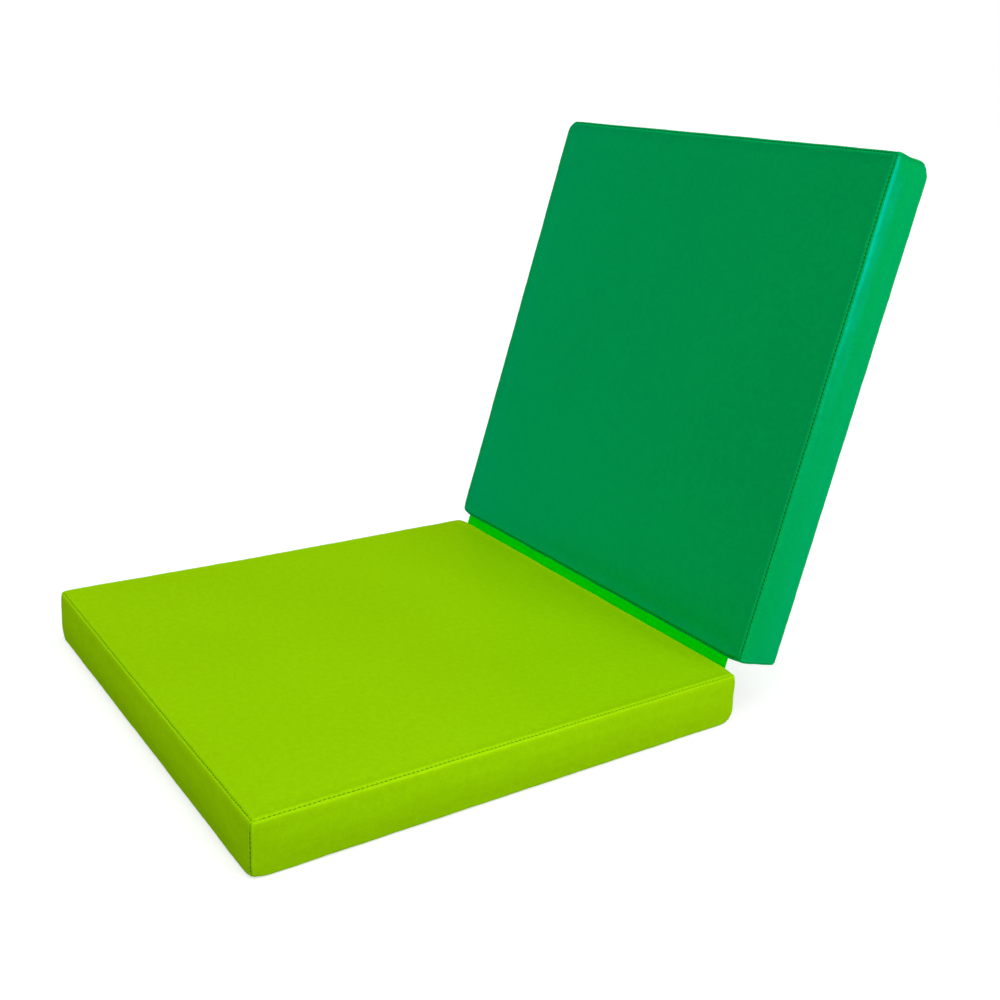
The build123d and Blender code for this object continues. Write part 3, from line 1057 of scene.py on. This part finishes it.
def vinyl(name, colour, sheen, painted_light_amount):
    """Coated fabric: fine leather grain, faint mottling, a tinted sheen, ridges painted lighter
    and seam bottoms painted darker as light and shade.
    """
    material, tree, shader = new_material(name)
    cloudy = around_one(tree, noise(tree, 5.0), 0.06)
    mottled = around_one(tree, noise(tree, 130.0, 6.0), 0.11)
    speckled = around_one(tree, noise(tree, 520.0, 3.0), 0.12)
    uneven = math_node(tree, "MULTIPLY", math_node(tree, "MULTIPLY", cloudy, mottled), speckled)
    # Ridges are painted lighter and seam bottoms darker: painted light and shade in the colour
    shade = math_node(tree, "MULTIPLY", uneven, painted_light_and_shade(tree, painted_light_amount))
    pebble = add_node(
        tree, "ShaderNodeTexVoronoi", Vector=object_place(tree), Scale=780.0, Randomness=0.9
    )
    pebble.feature = "SMOOTH_F1"
    grain = bump(tree, pebble.outputs["Distance"], 0.00012, 0.55)
    creased = bump(tree, noise(tree, 160.0, 4.0), 0.0003, 0.25, grain)
    normal = bump(tree, noise(tree, 24.0), 0.0012, 0.22, creased)
    set_inputs(
        tree, shader,
        Base_Color=scaled_colour(tree, colour, shade),
        Specular_IOR_Level=0.0, Roughness=0.6, Normal=normal,
    )
    roughness = between(tree, noise(tree, 42.0, 3.0), 0.27, 0.36)
    tinted_sheen(tree, shader, sheen, roughness, normal)
    return material


def diagonal_bands(tree, scale, distortion):
    """Slanting waves, for a twist or a weave."""
    bands = add_node(
        tree, "ShaderNodeTexWave", Vector=object_place(tree), Scale=scale, Distortion=distortion
    )
    bands.bands_direction = "DIAGONAL"
    return bands


def twisted_thread(name, colour):
    """Sewing thread: a fine diagonal twist and uneven colour."""
    material, tree, shader = new_material(name)
    shade = around_one(tree, noise(tree, 260.0), 0.14)
    twist = diagonal_bands(tree, 330.0, 0.6)
    set_inputs(
        tree, shader,
        Base_Color=scaled_colour(tree, colour, shade), Roughness=0.6, Specular_IOR_Level=0.2,
        Normal=bump(tree, twist.outputs["Color"], 0.00012, 0.6),
    )
    return material


def open_foam(name):
    """Pale polyurethane foam with open pores."""
    material, tree, shader = new_material(name)
    shade = around_one(tree, noise(tree, 30.0, 4.0), 0.08)
    pores = add_node(tree, "ShaderNodeTexVoronoi", Vector=object_place(tree), Scale=620.0)
    set_inputs(
        tree, shader,
        Base_Color=scaled_colour(tree, FOAM_COLOUR, shade), Roughness=0.95,
        Normal=bump(tree, pores.outputs["Distance"], 0.0006, 0.8),
    )
    return material


def woven_tape(name):
    """Herringbone zip tape in dark green."""
    material, tree, shader = new_material(name)
    weave = diagonal_bands(tree, 420.0, 0.4).outputs["Fac"]
    uneven = around_one(tree, noise(tree, 120.0), 0.1)
    shade = math_node(tree, "MULTIPLY", around_one(tree, weave, 0.18), uneven)
    set_inputs(
        tree, shader,
        Base_Color=scaled_colour(tree, TAPE_COLOUR, shade), Roughness=0.75,
        Normal=bump(tree, weave, 0.00025, 0.7),
    )
    return material


def coil_plastic(name):
    """Polyester coil: smooth, slightly glossy, with a faint moulding grain."""
    material, tree, shader = new_material(name)
    shade = around_one(tree, noise(tree, 210.0), 0.1)
    set_inputs(
        tree, shader,
        Base_Color=scaled_colour(tree, COIL_COLOUR, shade),
        Roughness=between(tree, noise(tree, 300.0), 0.28, 0.42),
        Normal=bump(tree, noise(tree, 900.0, 2.0), 0.0001, 0.3),
    )
    return material


def satin_metal(name):
    """Plated zinc: brushed along the zip, its edges painted lighter and its hollows painted
    darker, as light and shade.
    """
    material, tree, shader = new_material(name)
    uneven = around_one(tree, noise(tree, 150.0, 3.0), 0.07)
    # Edges painted lighter and hollows darker: painted light and shade in the colour
    shade = math_node(tree, "MULTIPLY", uneven, painted_light_and_shade(tree, 0.15))
    brushed = noise(tree, 900.0, 3.0, stretch=(1, 0.08, 1))
    set_inputs(
        tree, shader,
        Base_Color=scaled_colour(tree, METAL_COLOUR, shade), Metallic=1.0,
        Roughness=between(tree, brushed, 0.2, 0.4), Normal=bump(tree, brushed, 0.0001, 0.25),
    )
    return material


# ---- the mat

def build_pad(pad, shared):
    """Every soft piece of one pad, and finishes for its metal ones."""
    colour = COLOUR_NAMES[pad]
    skin = vinyl(f"{colour}_vinyl", SKIN_COLOURS[pad], SHEEN_COLOURS[pad], SEAM_PAINTED_LIGHT)
    thread = twisted_thread(f"{colour}_thread", THREAD_COLOURS[pad])
    cover = Cover(pad, PAD_SEEDS[pad])
    for upper in (True, False):
        face_sheet(cover, upper, skin)
        edge_stitches(cover, upper, thread)
        zip_band(cover, upper, skin)
        zip_tape(cover, upper, shared["tape"])
    for side, name in enumerate(("end_wall", "right_wall", "hinge_wall")):
        full_wall(cover, side, name, skin)
    corner_stitches(cover, thread)
    zip_stitches(cover, thread)
    zip_teeth(cover, shared["coil"])
    foam_block(cover, shared["foam"])
    for part in ("zip_slider", "zip_pull", "zip_stops"):
        finish_metal(frame["nodes"][f"{pad}_{part}"], shared["metal"])


def finish_metal(node, material):
    """Softened edges and a metal finish on a part kept from the frame."""
    node.data.materials.clear()
    node.data.materials.append(material)
    edge = node.modifiers.new("edge", "BEVEL")
    edge.width = 0.25 * MM
    edge.segments = 2
    edge.angle_limit = math.radians(35)
    edge.harden_normals = True


def white_floor():
    """A plain pale floor, just below the mat."""
    bpy.ops.mesh.primitive_plane_add(size=40, location=(0, 0, -0.5 * MM))
    floor = bpy.context.object
    floor.name = "floor"
    material, tree, shader = new_material("floor_paint")
    seen = tree.nodes.new("ShaderNodeLightPath").outputs["Is Camera Ray"]
    speckled = math_node(tree, "MULTIPLY", FLOOR_BOUNCE, around_one(tree, noise(tree, 3.0), 0.004))
    set_inputs(
        tree, shader,
        Base_Color=scaled_colour(tree, (1, 1, 1), speckled), Roughness=0.9,
        Specular_IOR_Level=0.0, Emission_Color=(1, 1, 1, 1),
        Emission_Strength=math_node(tree, "MULTIPLY", seen, FLOOR_GLOW),
    )
    floor.data.materials.append(material)


def studio_light():
    """A pale surround that lights softly, a round panel at the side, and two broad soft lamps."""
    world = bpy.data.worlds.new("studio")
    bpy.context.scene.world = world
    world.use_nodes = True
    tree = world.node_tree
    seen = tree.nodes.new("ShaderNodeLightPath").outputs["Is Camera Ray"]
    strength = between(tree, seen, SURROUND_LIGHT, 1.0)
    set_inputs(tree, tree.nodes["Background"], Color=(1, 1, 1, 1), Strength=strength)
    lamp = bpy.data.lights.new("side_panel", "AREA")
    lamp.shape = "DISK"
    lamp.size = PANEL_SIZE
    lamp.energy = PANEL_POWER
    holder = add_object("side_panel", lamp)
    holder.location = PANEL_PLACE
    holder.rotation_euler = Vector(PANEL_FACING).to_track_quat("Z", "Y").to_euler()
    holder.visible_camera = False
    for name, toward, power, spread in SOFT_LAMPS:
        lamp = bpy.data.lights.new(name, "SUN")
        lamp.energy = power
        lamp.angle = math.radians(spread)
        holder = add_object(name, lamp)
        holder.rotation_euler = Vector(toward).to_track_quat("Z", "Y").to_euler()


def photo_camera():
    """The camera at the photograph's viewing angle."""
    yaw, pitch, roll = (math.radians(angle) for angle in CAMERA_ANGLES)
    level_reach = math.cos(pitch)
    forward = Vector((math.sin(yaw) * level_reach, math.cos(yaw) * level_reach, -math.sin(pitch)))
    level = Vector((math.cos(yaw), -math.sin(yaw), 0))
    down = forward.cross(level)
    right = level * math.cos(roll) + down * math.sin(roll)
    up = level * math.sin(roll) - down * math.cos(roll)
    lens = bpy.data.cameras.new("camera")
    lens.sensor_width = SENSOR_WIDTH
    lens.lens = LENS
    lens.shift_x, lens.shift_y = FRAME_SHIFT
    lens.clip_start = 0.05
    camera = add_object("camera", lens)
    turn = Matrix((right, up, -forward)).transposed().to_4x4()
    camera.matrix_world = Matrix.Translation(CAMERA_PLACE) @ turn
    bpy.context.scene.camera = camera


shared_finishes = {
    "tape": woven_tape("zip_tape"),
    "coil": coil_plastic("zip_coil"),
    "metal": satin_metal("zip_metal"),
    "foam": open_foam("foam"),
}
for pad in ("base", "rear"):
    build_pad(pad, shared_finishes)
hinge_strip(vinyl("strip_vinyl", STRIP_COLOUR, STRIP_SHEEN, STRIP_PAINTED_LIGHT))
white_floor()
studio_light()
photo_camera()
bpy.context.scene.view_settings.view_transform = "Standard"
